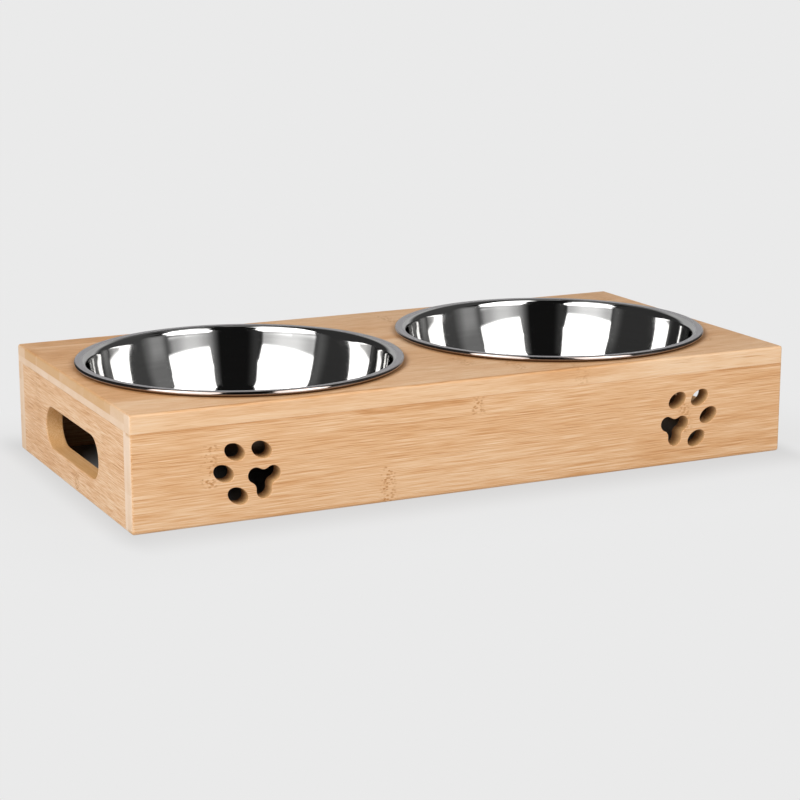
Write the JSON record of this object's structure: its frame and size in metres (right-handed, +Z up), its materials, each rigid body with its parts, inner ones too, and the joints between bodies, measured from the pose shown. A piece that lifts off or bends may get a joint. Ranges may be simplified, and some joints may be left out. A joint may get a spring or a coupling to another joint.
{
  "type": "dog feeder stand",
  "caption": "Low bamboo feeder box, open below, with a hand slot in each end and paw-shaped cut-outs in front; steel bowls hang by their rims in its top and lift out.",
  "frame": {"origin": "middle of the box's footprint, on the floor", "axes": "+X along the box to the right seen from the front, +Y to the back, +Z up; the front with the paw cut-outs faces -Y"},
  "size_m": [0.4, 0.2, 0.066],
  "materials": {
    "bamboo": "satin, natural laminated bamboo",
    "dowel_wood": "bare beech",
    "bowl_steel": "polished inside, satin rim"
  },
  "bodies": {
    "stand": {"top_panel": "bamboo", "front_panel": "bamboo", "back_panel": "bamboo", "left_end_panel": "bamboo", "right_end_panel": "bamboo", "corner_dowels_front_left": "dowel_wood", "corner_dowels_front_right": "dowel_wood", "corner_dowels_back_left": "dowel_wood", "corner_dowels_back_right": "dowel_wood", "top_dowels_front": "dowel_wood", "top_dowels_back": "dowel_wood", "top_dowels_left": "dowel_wood", "top_dowels_right": "dowel_wood"},
    "left_bowl": {"left_bowl": "bowl_steel"},
    "right_bowl": {"right_bowl": "bowl_steel"}
  },
  "joints": [
    {"name": "left_bowl_lift", "type": "slide", "parent": "stand", "child": "left_bowl", "axis": [0, 0, 1], "range_m": [0, 0.08]},
    {"name": "right_bowl_lift", "type": "slide", "parent": "stand", "child": "right_bowl", "axis": [0, 0, 1], "range_m": [0, 0.08]}
  ]
}
